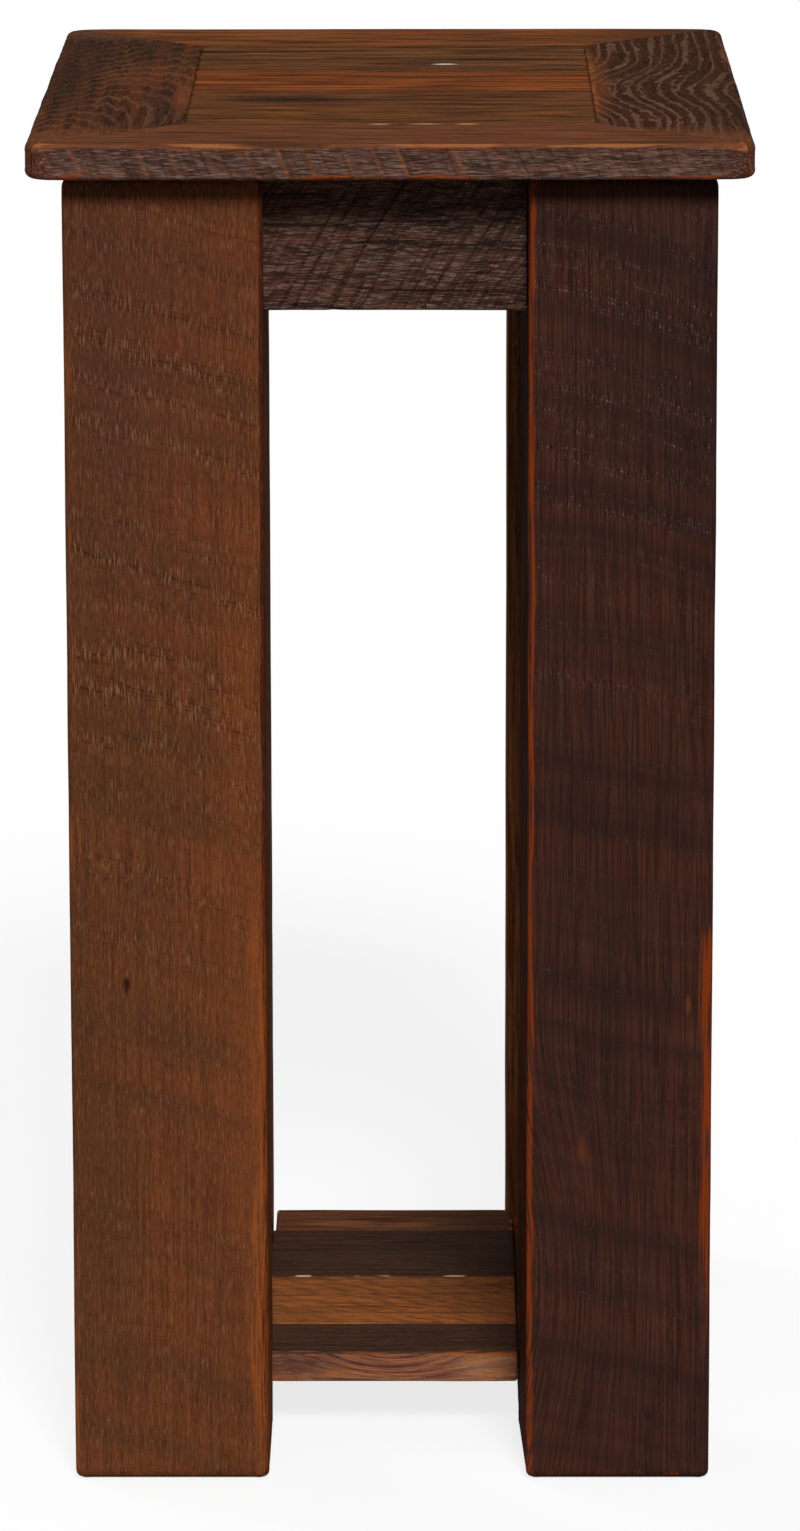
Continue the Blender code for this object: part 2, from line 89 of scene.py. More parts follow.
# Surface of a bar, in millimetres
FACE_WAVES = (55, 17)         # long and short dips of a face
EDGE_WAVES = (45, 11)         # and of a worn edge
EDGES_APART = 97              # distance in the noise that keeps the four edges unlike
WORN_FROM = 1                 # radius above which an edge counts as worn
SWELL = 2                     # radius up to which an edge varies by half
RIDGE_FADE = 3                # how far from an edge raised grain reaches its height
CALM_END = 12                 # stretch in which the relief comes to its mean level towards an end
SAW_WANDER = 70               # stretch over which a saw mark strays
SAW_BREAKS = (13, 5)          # long and short breaks in a saw mark
CRACK_PITCH = 11              # from crack to crack across the grain
CRACK_WIDTH = 0.5
CRACK_BEND = 9                # how far a crack strays across the grain
CHIP = 4                      # size of the chips on the edges of the ends
SCRATCH_STRAY = 20.0          # how far the fine saw scratches stray

# Cells of noise that lie along the grain: length and width in millimetres
CRACK_PATHS = (45, 20)        # how the cracks stray
CRACK_PATCHES = (50, 9)       # where they show
RUB_REACH = (40, 5)           # how far in from an edge the finish is rubbed
RUB_PATCHES = (30, 7)         # and where it is rubbed at all

# Shares and forces, from 0 to 1
LONG_SHARE = 0.7              # of the long dips, beside the short ones
FAINTEST = 0.25               # the faintest saw mark
UNGROWN = 0.15                # the saw marks where they start to grow
PAPER_GLOW = 0.8              # the part of the floor's white that needs no light

# Random draws
NOISE_CELLS = 37              # size of the random lattice, in cells
DRAWS = 997                   # saw marks that are drawn before they repeat
APART = (37.7, 91.3, 53.9)    # steps in the noise from one bar's finish to the next, in cells
ROOM = 500                    # range of these places, in cells
# First seed of the bars in each group
SEEDS = {"legs": 1, "boards": 21, "planks": 31, "aprons": 41, "rails": 51, "shelf": 61}

# Floor in metres, and the strength of the overhead fill
FLOOR_REACH = 30.0            # from the middle to each edge
FLOOR_GAP = 0.2 * MM          # how far it lies below the feet
FILL_LOW = 0.04               # near the horizon
FILL_HIGH = 0.4               # straight above

# Camera, fitted to the straight edges of the top, posts, apron and shelf
LENS = 175.085                # focal length in millimetres
SENSOR = 36                   # width in millimetres
CAMERA_PLACE = (0.01958, -3.81481, 1.18297)
PITCH, YAW, ROLL = 12.690, -0.240, -0.085     # degrees down, aside and tilted
CLIP_END = 200                # how far it sees, in metres

CAD_LOW, CAD_HIGH = cad_box
slot_of = {part["node"]: part["material_slot"] for part in frame["record"]["subparts"]}


# Bars of timber


@dataclass
class Saw:
    """Marks that a saw left across the faces of a bar, in millimetres and degrees."""
    pitch: float              # from mark to mark along the grain
    lean: float               # tilt of the marks from square across the grain
    width: float
    depth: float
    radius: float = 420       # of the blade, as the marks bow
    stray: float = 0.3        # how far a mark is out of place, as a part of the pitch
    faces: tuple = (0, 1, 2, 3)
    grow: tuple = ()          # where along the grain the marks grow from faint to full


@dataclass
class Bar:
    """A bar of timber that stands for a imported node. Lengths of its surface are in millimetres.

    Its two axes across the grain follow the axis along it in turn, as X Y Z X Y. Corner 0 is low on both,
    and the other corners follow the way round. Face 0 lies between corners 0 and 1.
    """
    node: str
    along: int
    low: Vector
    high: Vector
    look: str
    seed: int
    arris: tuple = (2, 2, 2, 2)           # radius of each long edge
    meet: float = 0                       # radius that the worn edges share at the ends, if any
    shift: tuple = ((0, 0),) * 4          # how far each corner stands off its box
    wear: tuple = (0.5, 0.5, 0.5, 0.5)    # how far the finish is rubbed off each long edge
    wear_reach: float = 1.2
    rubs: tuple = ()                      # rubbed stretches, also painted glint dashes: corner, start, end, reach and force
    end_wear: float = 0.0                 # how far the finish is chipped off the ends' edges
    end_arris: float = 1.5
    step: float = 2.0                     # mesh size
    uneven: float = 0.4                   # how far the faces dip
    ridge: float = 0.1                    # height of raised grain
    ridge_size: tuple = (40, 4)
    ridge_faces: tuple = (0, 1, 2, 3, 4)
    crack: float = 0.0                    # depth of cracks along the grain
    saws: tuple = ()
    other_look: tuple = ()                # a face and an edge with a look of their own, and that look
    bend: object = None                   # a function that moves the points, if any

    @property
    def across(self):
        """The two axes across the grain."""
        return (self.along + 1) % 3, (self.along + 2) % 3

    def size(self, axis):
        """Length of the bar's box along an axis, in metres."""
        return self.high[axis] - self.low[axis]


def smooth_noise(points, seed):
    """Random values from 0 to 1 that change smoothly over cells of unit size."""
    lattice = np.random.default_rng(seed).random((NOISE_CELLS,) * 3)
    cell = np.floor(points).astype(int)
    part = points - cell
    part = part * part * (3 - 2 * part)
    total = np.zeros(len(points))
    for corner in itertools.product((0, 1), repeat=3):
        index = (cell + corner) % NOISE_CELLS
        share = np.where(corner, part, 1 - part).prod(axis=1)
        total += share * lattice[index[:, 0], index[:, 1], index[:, 2]]
    return total


def waves(points, sizes, seed):
    """Long waves with shorter ones on top, from 0 to 1."""
    long, short = (smooth_noise(points / size, seed + i) for i, size in enumerate(sizes))
    return LONG_SHARE * long + (1 - LONG_SHARE) * short


def ramp(value, low, high):
    """Smooth step from 0 at low to 1 at high."""
    t = np.clip((value - low) / (high - low), 0, 1)
    return t * t * (3 - 2 * t)


def drawn(grain, along, length, width):
    """Places in cells of a noise that is drawn out along the grain."""
    cells = grain / width
    cells[:, along] *= width / length
    return cells


def stations(bar):
    """Places along the bar, and how far the section draws in there to round the ends."""
    ease = bar.end_arris * MM
    start, stop = bar.low[bar.along], bar.high[bar.along]
    count = max(4, round((stop - start - 2 * ease) / (bar.step * MM)))
    turn = np.linspace(0, math.pi / 2, END_STEPS + 1)[:-1]
    into = ease * (1 - np.cos(turn))
    inset = ease * (1 - np.sin(turn))
    middle = np.linspace(start + ease, stop - ease, count + 1)
    along = np.concatenate([start + into, middle, stop - into[::-1]])
    return along, np.concatenate([inset, np.zeros(count + 1), inset[::-1]])


def corner_tracks(bar, along, inset):
    """Centre and radius of each rounded corner at every station."""
    a, b = bar.across
    corners = np.array([(bar.low[a], bar.low[b]), (bar.high[a], bar.low[b]),
                        (bar.high[a], bar.high[b]), (bar.low[a], bar.high[b])])
    corners = corners + np.array(bar.shift) * MM
    inward = np.array([(1, 1), (-1, 1), (-1, -1), (1, -1)])
    radii = np.zeros((len(along), 4))
    calm = ramp(np.minimum(along - along[0], along[-1] - along), 0, EVEN_END)
    for k in range(4):
        apart = np.full_like(along, EDGES_APART * k)
        place = np.column_stack([along / MM, apart, np.zeros_like(along)])
        swell = waves(place, EDGE_WAVES, bar.seed) - 0.5
        end = bar.meet if bar.meet and bar.arris[k] > WORN_FROM else bar.arris[k]
        worn = bar.arris[k] + swell * min(bar.arris[k], SWELL)
        radii[:, k] = MM * (end + calm * (worn - end))
    centres = corners + inward * (inset[:, None] + radii)[:, :, None]
    return centres, radii


def section_loop(bar, centres, radii):
    """Points round the bar at every station, with their face, distance from an edge and nearest corner."""
    a, b = bar.across
    size = (bar.size(a), bar.size(b))
    outward = np.array([(0, -1), (1, 0), (0, 1), (-1, 0)])
    points, face, edge, corner = [], [], [], []
    for k in range(4):
        for i in range(ARRIS_STEPS + 1):
            angle = math.pi * (1 + k / 2 + i / ARRIS_STEPS / 2)
            ray = np.array([math.cos(angle), math.sin(angle)])
            points.append(centres[:, k] + radii[:, k, None] * ray)
            face.append(-1)
            edge.append(0.0)
            corner.append(k)
        after = (k + 1) % 4
        first = centres[:, k] + radii[:, k, None] * outward[k]
        last = centres[:, after] + radii[:, after, None] * outward[k]
        count = max(2, round(size[k % 2] / (bar.step * MM)))
        for share in np.array([EDGE_SPAN, *range(1, count), count - EDGE_SPAN]) / count:
            points.append(first + (last - first) * share)
            face.append(k)
            edge.append(min(share, 1 - share) * size[k % 2] / MM)
            corner.append(k if share < 0.5 else after)
    return np.stack(points, axis=1), np.array(face), np.array(edge), np.array(corner)


def bar_mesh(bar):
    """Points and polygons of a closed bar, and what each is. The edges are numbered -1 to -4."""
    along, inset = stations(bar)
    section, face, edge, corner = section_loop(bar, *corner_tracks(bar, along, inset))
    count, loop = section.shape[:2]
    a, b = bar.across
    sides = np.zeros((count, loop, 3))
    sides[:, :, bar.along] = along[:, None]
    sides[:, :, a] = section[:, :, 0]
    sides[:, :, b] = section[:, :, 1]
    here = np.arange(loop)
    after = (here + 1) % loop
    polygons = []
    for i in range(count - 1):
        row = np.column_stack([here, after, after + loop, here + loop]) + i * loop
        polygons += row.tolist()
    side = np.maximum(face, face[after])
    side = np.tile(np.where(side < 0, -1 - corner, side), count - 1)

    # Each end closes in rings towards its middle
    thick = min(bar.size(a), bar.size(b))
    rings = max(LEAST_RINGS, round(thick / (RING_SPAN * bar.step * MM)))
    points = [sides.reshape(-1, 3)]
    first = count * loop
    for end, rim in ((0, 0), (-1, (count - 1) * loop)):
        centre = sides[end].mean(axis=0)
        ring = [rim + here] + [first + i * loop + here for i in range(rings - 1)]
        tip = first + (rings - 1) * loop
        for i in range(1, rings):
            points.append(centre + (sides[end] - centre) * (1 - i / rings))
        points.append(centre[None])
        blocks = []
        for outer, inner in zip(ring, ring[1:]):
            blocks.append(np.column_stack([outer, inner, inner[after], outer[after]]))
        blocks.append(np.column_stack([ring[-1], np.full(loop, tip), ring[-1][after]]))
        for block in blocks:
            polygons += (block if end == 0 else block[:, ::-1]).tolist()
        first = tip + 1
    points = np.concatenate(points)
    spare = len(points) - count * loop
    face = np.concatenate([np.tile(face, count), np.full(spare, END_FACE)])
    edge = np.concatenate([np.tile(edge, count), np.full(spare, INSIDE)])
    corner = np.concatenate([np.tile(corner, count), np.zeros(spare, int)])
    side = np.concatenate([side, np.full(len(polygons) - len(side), END_FACE)])
    return points, polygons, side, face, edge, corner


def saw_marks(saw, along, across, seed):
    """How deep each point lies in a saw mark, from 0 to 1."""
    place = np.column_stack([along, across, np.zeros_like(along)])
    slope = math.tan(math.radians(saw.lean))
    phase = (along + across * slope + across**2 / (2 * saw.radius)) / saw.pitch
    phase += 2 * saw.stray * (smooth_noise(place / SAW_WANDER, seed) - 0.5)
    line = np.round(phase).astype(int)
    draws = np.random.default_rng(seed + 1)
    stray = draws.uniform(-0.5, 0.5, DRAWS)[line % DRAWS] * saw.stray
    force = draws.uniform(FAINTEST, 1.0, DRAWS)[line % DRAWS]
    gap = np.abs(phase - line - stray) * saw.pitch
    long, short = SAW_BREAKS
    broken = (smooth_noise(place / long, seed + 2) + smooth_noise(place[:, ::-1] / short, seed + 3)) / 2
    mark = np.exp(-((gap / saw.width) ** 2)) * force * ramp(broken, 0.15, 0.5)
    return mark * (UNGROWN + (1 - UNGROWN) * ramp(along, *saw.grow)) if saw.grow else mark


def relief(bar, grain, face, edge):
    """Millimetres that each point sinks, and how far it lies in a saw mark and in a crack."""
    a, b = bar.across
    middle = np.array([(bar.low[i] + bar.high[i]) / 2 / MM for i in range(3)])
    tip = bar.size(bar.along) / 2 / MM - np.abs(grain - middle)[:, bar.along]
    sink = bar.uneven * waves(grain, FACE_WAVES, bar.seed + 2)
    level = bar.uneven / 2
    torn = bar.ridge * np.isin(face, bar.ridge_faces) * ramp(edge, 0, RIDGE_FADE)
    sink += torn * smooth_noise(drawn(grain, bar.along, *bar.ridge_size), bar.seed + 4)
    level += torn / 2
    kerf = np.zeros(len(grain))
    for number, saw in enumerate(bar.saws):
        for k in saw.faces:
            here = face == k
            across = (grain - middle)[here, a if k % 2 == 0 else b]
            mark = saw_marks(saw, grain[here, bar.along], across, 100 * bar.seed + 10 * number + k)
            kerf[here] = np.maximum(kerf[here], mark)
            sink[here] += saw.depth * mark
    stray = smooth_noise(drawn(grain, bar.along, *CRACK_PATHS), bar.seed + 7)
    track = grain[:, a] + grain[:, b] + CRACK_BEND * stray
    gap = np.abs(track / CRACK_PITCH - np.round(track / CRACK_PITCH)) * CRACK_PITCH
    crack = np.exp(-((gap / CRACK_WIDTH) ** 2)) * (bar.crack > 0)
    crack *= ramp(smooth_noise(drawn(grain, bar.along, *CRACK_PATCHES), bar.seed + 8), 0.5, 0.65)
    return level + ramp(tip, 0, CALM_END) * (sink + bar.crack * crack - level), kerf, crack


def rubbing(bar, grain, face, edge, corner):
    """How far the finish is rubbed off at each point, from 0 to 1."""
    place = grain[:, bar.along]

    # The rubbed strip narrows and widens along its edge, and breaks off in patches
    spread = smooth_noise(drawn(grain, bar.along, *RUB_REACH), bar.seed + 5)
    reach = bar.wear_reach * (0.3 + 1.4 * spread)
    patchy = ramp(smooth_noise(drawn(grain, bar.along, *RUB_PATCHES), bar.seed + 6), 0.25, 0.8)
    wear = np.array(bar.wear)[corner] * patchy * 1.3 * np.exp(-((edge / reach) ** 2))

    # Rubbed stretches, and the painted glint dashes that are drawn as such, fade out at both ends
    for k, start, stop, width, strength in bar.rubs:
        fade = (stop - start) / 3
        here = (corner == k) * ramp(place, start, start + fade) * ramp(place, stop, stop - fade)
        rub = strength * np.exp(-((edge / (width * (0.4 + 1.2 * spread))) ** 4))
        wear = np.maximum(wear, here * rub)

    # The ends' edges are chipped
    tip = np.minimum(place - bar.low[bar.along] / MM, bar.high[bar.along] / MM - place)
    edge_flecks = ramp(smooth_noise(grain / CHIP, bar.seed + 9), 0.5, 0.8) * np.exp(-((tip / bar.end_arris) ** 2))
    wear = np.maximum(wear, bar.end_wear * edge_flecks)
    return np.where(face == END_FACE, 0, np.clip(wear, 0, 1))


def add_bar(bar):
    """Build a bar with its relief and finish, and put it in its node's place."""
    points, polygons, side, face, edge, corner = bar_mesh(bar)
    if bar.bend:
        points = bar.bend(points)
    mesh = bpy.data.meshes.new(bar.node)
    mesh.from_pydata(points.tolist(), [], polygons)
    normals = np.zeros(len(points) * 3)
    mesh.vertices.foreach_get("normal", normals)
    grain = points / MM
    sink, kerf, crack = relief(bar, grain, face, edge)
    points = points - normals.reshape(-1, 3) * (sink * MM)[:, None]
    mesh.vertices.foreach_set("co", points.ravel())
    wear = rubbing(bar, grain, face, edge, corner)
    for name, values in (("kerf", kerf), ("crack", crack), ("wear", wear)):
        mesh.attributes.new(name, "FLOAT", "POINT").data.foreach_set("value", values)
    mesh.shade_smooth()
    mesh.materials.append(reclaimed_oak(bar, bar.look))
    if bar.other_look:
        *sides, look = bar.other_look
        mesh.materials.append(reclaimed_oak(bar, look))
        mesh.polygons.foreach_set("material_index", np.isin(side, sides).astype(int))
    mesh.update()
    piece = bpy.data.objects.new(bar.node + "_timber", mesh)
    bpy.context.collection.objects.link(piece)
    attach(piece, "root")
    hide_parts(bar.node)


# Finishes


def linear(code):
    """An sRGB hex colour as linear red, green, blue and alpha."""
    parts = [int(code[i:i + 2], 16) / 255 for i in (0, 2, 4)]
    return tuple(c / 12.92 if c <= 0.04045 else ((c + 0.055) / 1.055) ** 2.4 for c in parts) + (1.0,)


def add(tree, kind, inputs=None, out=0, **settings):
    """Add a shader node with its settings, set or link its inputs, and give one of its outputs.

    Inputs go by name or number. A Map Range has its value at 0, the range that it comes from at 1 and 2 and
    the range that it goes to at 3 and 4, and both ranges are from 0 to 1 if left out. A Mix has its share at
    0 and its colours at 6 and 7.
    """
    node = tree.nodes.new("ShaderNode" + kind)
    for name, value in settings.items():
        setattr(node, name, value)
    for socket, value in (inputs or {}).items():
        if isinstance(value, bpy.types.NodeSocket):
            tree.links.new(value, node.inputs[socket])
        else:
            node.inputs[socket].default_value = value
    return node.outputs[out] if node.outputs else None


def new_material(name):
    """An empty node material and its tree."""
    material = bpy.data.materials.new(name)
    material.use_nodes = True
    material.node_tree.nodes.clear()
    return material, material.node_tree


@dataclass
class Look:
    """How one stick of timber shows: sRGB colours, sizes in millimetres, shares from 0 to 1."""
    pale: str                     # wood between the fibres
    dark: str                     # the fibres
    tint: str = "6E3A1E"          # redder strips
    line: str = "2A1812"          # growth rings
    stain: str = "241812"         # weathered streaks
    dust_and_glint: str = "8A6038"          # raised fibres: paler wood, with painted glints
    pit: str = "24140E"           # torn fibres and cracks
    worn: str = "7A3A14"          # bare wood on rubbed edges, and the colour of painted glint dashes on one shelf plank
    kerf: str = "6E5446"          # saw marks, and on the right post painted glints
    ring: float = 4.0             # ring spacing
    ring_share: float = 0.4
    ring_edge: float = 0.0        # from -1 for broad rings to 1 for thin ones
    pith: tuple = (60, -90)       # heart of the log across the grain, from the bar's middle
    tilt: float = 1.0             # degrees between the log and the bar
    sway: float = 5.0             # how far the rings stray in long waves
    ripple: float = 1.0           # and in short ones
    swirl: tuple = ()             # a knot that lifts the rings: place along and across, both reaches, lift
    marks: tuple = ()             # knots, streaks and sore spots, and painted glints, sheen and light: place and reaches as above, colour, share
    fibre: tuple = (30, 1.0)      # length and width of the streaks
    stroke: tuple = (6, 0.7)      # and of the fibres that stand up
    relief: float = 1.0           # height of the grain, as a part of the usual
    broad_share: float = 0.3      # how strongly the stain clouds the wood
    tint_share: float = 0.4
    stain_share: float = 0.3
    stain_size: tuple = (160, 14)
    dust_and_glint_share: float = 0.4
    pit_share: float = 0.5
    kerf_share: float = 0.5
    cut: tuple = (2.5, 14, 0.4)   # fine saw scratches: pitch, lean in degrees, share
    stray_cut: float = 0.3        # how far they spread outside the broad saw marks
    sweep: tuple = (24, 0.0)      # broad passes of the saw, which shade the wood: pitch and share
    rough: float = 0.6
    gloss: float = 0.03           # specular level: the old finish is nearly dead


# Noise drawn out along the grain: length and width of its cells in millimetres, detail, roughness.
# The fibres and pores of oak are 0.05 to 0.3 mm wide, too fine to show in the render. So the looks' fibres,
# strokes and saw scratches are drawn as coarse as they need to show.
STREAKS = {
    "strip": (120, 5, 2.0, 0.5),
    "patch": (60, 16, 2.0, 0.5),
    "cloud": (300, 60, 2.0, 0.5),
    "sway": (130, 24, 1.0, 0.5),
    "ripple": (10, 5, 1.0, 0.5),
}


def reclaimed_oak(bar, look_name):
    """Reclaimed oak, rough-sawn and lacquered: it shows open grain, old stains and rubbed amber edges."""
    look = LOOKS[look_name]
    material, tree = new_material(f"reclaimed_oak_{look_name}_{bar.node}")
    node = partial(add, tree)
    order = [bar.along, *bar.across]
    middle = [(bar.low[i] + bar.high[i]) / 2 / MM for i in order]

    # Millimetres from the bar's middle, X along the grain
    axes = node("SeparateXYZ", {0: node("TexCoord", out="Object")}).node.outputs
    turned = node("CombineXYZ", {i: axes[order[i]] for i in range(3)})
    point = node("Mapping", {0: turned, "Scale": (1 / MM,) * 3, "Location": [-m for m in middle]})

    # The way across the face: the wide one, or the thin one where the look is an edge's own
    wide = 1 if bar.size(order[1]) > bar.size(order[2]) else 2
    if look_name in bar.other_look:
        wide = 3 - wide
    spots = {}
    for at_along, at_across, long, broad, *_ in filter(None, (look.swirl, *look.marks)):
        place, scale = [-at_along / long, 0, 0], [1 / long, 0, 0]
        place[wide], scale[wide] = -at_across / broad, 1 / broad
        near = node("Mapping", {0: point, "Scale": scale, "Location": place})
        spots[at_along, at_across] = node("VectorMath", {0: near}, out="Value", operation="LENGTH")

    # Round a knot the rings rise, and the fibres bend with them
    bent = point
    if look.swirl:
        rise = node("MapRange", {0: spots[look.swirl[:2]], 3: look.swirl[4], 4: 0.0},
                    interpolation_type="SMOOTHERSTEP")
        bend = "SUBTRACT" if look.pith[wide - 1] > 0 else "ADD"
        bent = node("VectorMath", {0: point, 1: node("CombineXYZ", {wide: rise})}, operation=bend)

    # Streaks along the grain. Their noise keeps near 0.5, so each feature fades in between values near it
    away = [bar.seed * step % ROOM for step in APART]
    sizes = {**STREAKS, "fibre": (*look.fibre, 3.0, 0.6), "stain": (*look.stain_size, 3.0, 0.6),
             "stroke": (*look.stroke, 1.0, 0.5)}
    streak = {}
    for name, (length, width, detail, rough) in sizes.items():
        cells = node("Mapping", {0: bent, "Scale": (1 / length, 1 / width, 1 / width), "Location": away})
        streak[name] = node("TexNoise", {
            "Vector": cells, "Scale": 1.0, "Detail": detail, "Roughness": rough})

    # Growth rings about the heart of the log
    tilt = math.radians(look.tilt)
    heart = node("Mapping", {0: point, "Rotation": (0, tilt, tilt),
                             "Location": (0, -look.pith[0], -look.pith[1])})
    flat = node("VectorMath", {0: heart, 1: (0, 1, 1)}, operation="MULTIPLY")
    depth = node("VectorMath", {0: flat}, out="Value", operation="LENGTH")
    for name, size in (("sway", 2 * look.sway), ("ripple", 2 * look.ripple), ("strip", 1.5 * look.ring)):
        depth = node("Math", {0: streak[name], 1: size, 2: depth}, operation="MULTIPLY_ADD")
    if look.swirl:
        depth = node("Math", {0: depth, 1: rise}, operation="ADD")
    turns = node("Math", {0: depth, 1: 2 * math.pi / look.ring}, operation="MULTIPLY")
    wave = node("Math", {0: turns}, operation="SINE")
    rings = node("MapRange", {0: wave, 1: look.ring_edge, 2: 1.0}, interpolation_type="SMOOTHSTEP")
    clear = node("MapRange", {0: streak["patch"], 1: 0.3, 2: 0.65,
                              3: 0.4 * look.ring_share, 4: look.ring_share})
    rings = node("Math", {0: rings, 1: clear}, operation="MULTIPLY")

    # Saw scratches cross the grain, and show where fibres stand up
    kerf = node("Attribute", out="Fac", attribute_name="kerf")
    crack = node("Attribute", out="Fac", attribute_name="crack")
    wear = node("Attribute", out="Fac", attribute_name="wear")
    pitch, lean, cut_share = look.cut
    slope = math.tan(math.radians(lean))
    blade = node("VectorMath", {0: point, 1: (1, slope, slope)}, out="Value", operation="DOT_PRODUCT")
    blade = node("Math", {0: streak["cloud"], 1: SCRATCH_STRAY, 2: blade}, operation="MULTIPLY_ADD")
    sweep = node("Math", {0: blade, 1: look.sweep[0]}, operation="DIVIDE")
    sweep = node("TexNoise", {"W": sweep, "Scale": 1.0, "Detail": 2.0}, noise_dimensions="1D")
    passes = node("Math", {0: blade, 1: pitch}, operation="DIVIDE")
    scratch = node("TexNoise", {"W": passes, "Scale": 1.0, "Detail": 1.0}, noise_dimensions="1D")
    scratch = node("MapRange", {0: scratch, 1: 0.52, 2: 0.66}, interpolation_type="SMOOTHSTEP")
    band = node("Math", {0: kerf, 1: 1 - look.stray_cut, 2: look.stray_cut}, operation="MULTIPLY_ADD")
    cut = node("Math", {0: scratch, 1: band}, operation="MULTIPLY")
    stroke = node("MapRange", {0: streak["stroke"], 1: 0.52, 2: 0.68})
    raised = node("Math", {0: stroke, 1: band}, operation="MULTIPLY")
    scored = node("Math", {0: stroke, 1: cut}, operation="MULTIPLY")
    torn = node("MapRange", {0: streak["stroke"], 1: 0.47, 2: 0.3})
    torn = node("Math", {0: torn, 1: band}, operation="MULTIPLY")

    # Bare wood shows first along the fibres of a rubbed edge
    fibre = node("MapRange", {0: streak["fibre"], 1: 0.4, 2: 0.6})
    bare = node("MapRange", {0: streak["fibre"], 1: 0.4, 2: 0.58, 3: 0.1, 4: 1.4})
    bare = node("Math", {0: bare, 1: wear}, operation="MULTIPLY")
    bare = node("MapRange", {0: bare, 1: 0.15, 2: 0.75}, interpolation_type="SMOOTHSTEP")

    # Marks fade out along broken fibres
    marks = []
    for at_along, at_across, *_, tone, share in look.marks:
        distance = spots[at_along, at_across]
        far = node("Math", {0: streak["fibre"], 1: 0.8, 2: distance}, operation="MULTIPLY_ADD")
        marks.append((tone, node("MapRange", {0: far, 1: 0.7, 2: 1.3, 3: share, 4: 0.0})))

    # Colours, each laid over the last. The more stain, the lower the value of its noise at which it starts
    old = 0.74 - 0.42 * look.stain_share
    colour = node("Mix", {0: fibre, 6: linear(look.pale), 7: linear(look.dark)}, out=2, data_type="RGBA")
    for over, share in (
            (look.tint, node("MapRange", {0: streak["strip"], 1: 0.42, 2: 0.68, 4: look.tint_share})),
            (look.line, rings),
            (look.stain, node("MapRange", {0: streak["cloud"], 1: 0.45, 2: 0.75, 4: look.broad_share})),
            (look.stain, node("MapRange", {0: streak["stain"], 1: old, 2: old + 0.14, 4: 0.9})),
            (look.stain, node("MapRange", {0: sweep, 1: 0.4, 2: 0.65, 4: look.sweep[1]})),
            *marks,
            (look.pit, node("Math", {0: torn, 1: look.pit_share}, operation="MULTIPLY")),
            # Raised fibres are paler, and their colour also paints the glints of the lacquer
            (look.dust_and_glint, node("Math", {0: raised, 1: look.dust_and_glint_share}, operation="MULTIPLY")),
            (look.pit, node("Math", {0: cut, 1: 0.6 * cut_share}, operation="MULTIPLY")),
            # Scratches across standing fibres take the kerf colour, which on the right post is a painted glint
            (look.kerf, node("Math", {0: scored, 1: cut_share}, operation="MULTIPLY")),
            (look.kerf, node("Math", {0: kerf, 1: look.kerf_share}, operation="MULTIPLY")),
            (look.pit, crack),
            (look.worn, bare)):
        colour = node("Mix", {0: share, 6: colour, 7: linear(over)}, out=2, data_type="RGBA")

    # Relief in millimetres
    height = node("Math", {0: streak["fibre"], 1: 0.35}, operation="MULTIPLY")
    for bump, size in ((rings, 0.1), (raised, 0.1), (torn, -0.12), (cut, -0.2), (scored, 0.2)):
        height = node("Math", {0: bump, 1: size, 2: height}, operation="MULTIPLY_ADD")
    surface_normal = node("Bump", {"Strength": 0.9, "Distance": look.relief * MM, "Height": height})
    shine = node("MapRange", {0: streak["patch"], 1: 0.3, 2: 0.7, 3: look.rough - 0.07, 4: look.rough + 0.1})
    surface = node("BsdfPrincipled", {
        "Base Color": colour, "Roughness": shine, "Normal": surface_normal, "IOR": 1.45,
        "Specular IOR Level": look.gloss})
    node("OutputMaterial", {0: surface})
    return material


def sawn_pine():
    """Plain sawn pine, unfinished: pale wood with soft brown grain."""
    material, tree = new_material("sawn_pine_unfinished")
    node = partial(add, tree)
    length, width = 80 * MM, 4 * MM
    cells = node("Mapping", {0: node("TexCoord", out="Object"), "Scale": (1 / width, 1 / length, 1 / width)})
    grain = node("TexNoise", {"Vector": cells, "Scale": 1.0, "Detail": 3.0})
    colour = node("Mix", {0: grain, 6: linear("8A6844"), 7: linear("5E432B")}, out=2, data_type="RGBA")
    bump = node("Bump", {"Strength": 0.5, "Distance": 0.3 * MM, "Height": grain})
    surface = node("BsdfPrincipled", {"Base Color": colour, "Roughness": 0.75, "Normal": bump, "IOR": 1.45})
    node("OutputMaterial", {0: surface})
    return material


def zinc_plate():
    """Zinc-plated steel: a dull grey metal with a faint mottle.

    Its crystals are too fine to show in the render, so the mottle is drawn about a millimetre wide.
    """
    material, tree = new_material("zinc_plated_steel")
    node = partial(add, tree)
    mottle = node("TexNoise", {"Vector": node("TexCoord", out="Object"), "Scale": 1 / MM, "Detail": 2.0})
    colour = node("Mix", {0: mottle, 6: linear("A6A6A0"), 7: linear("7E7F7C")}, out=2, data_type="RGBA")
    surface = node("BsdfPrincipled", {"Base Color": colour, "Metallic": 1.0, "Roughness": 0.38})
    node("OutputMaterial", {0: surface})
    return material


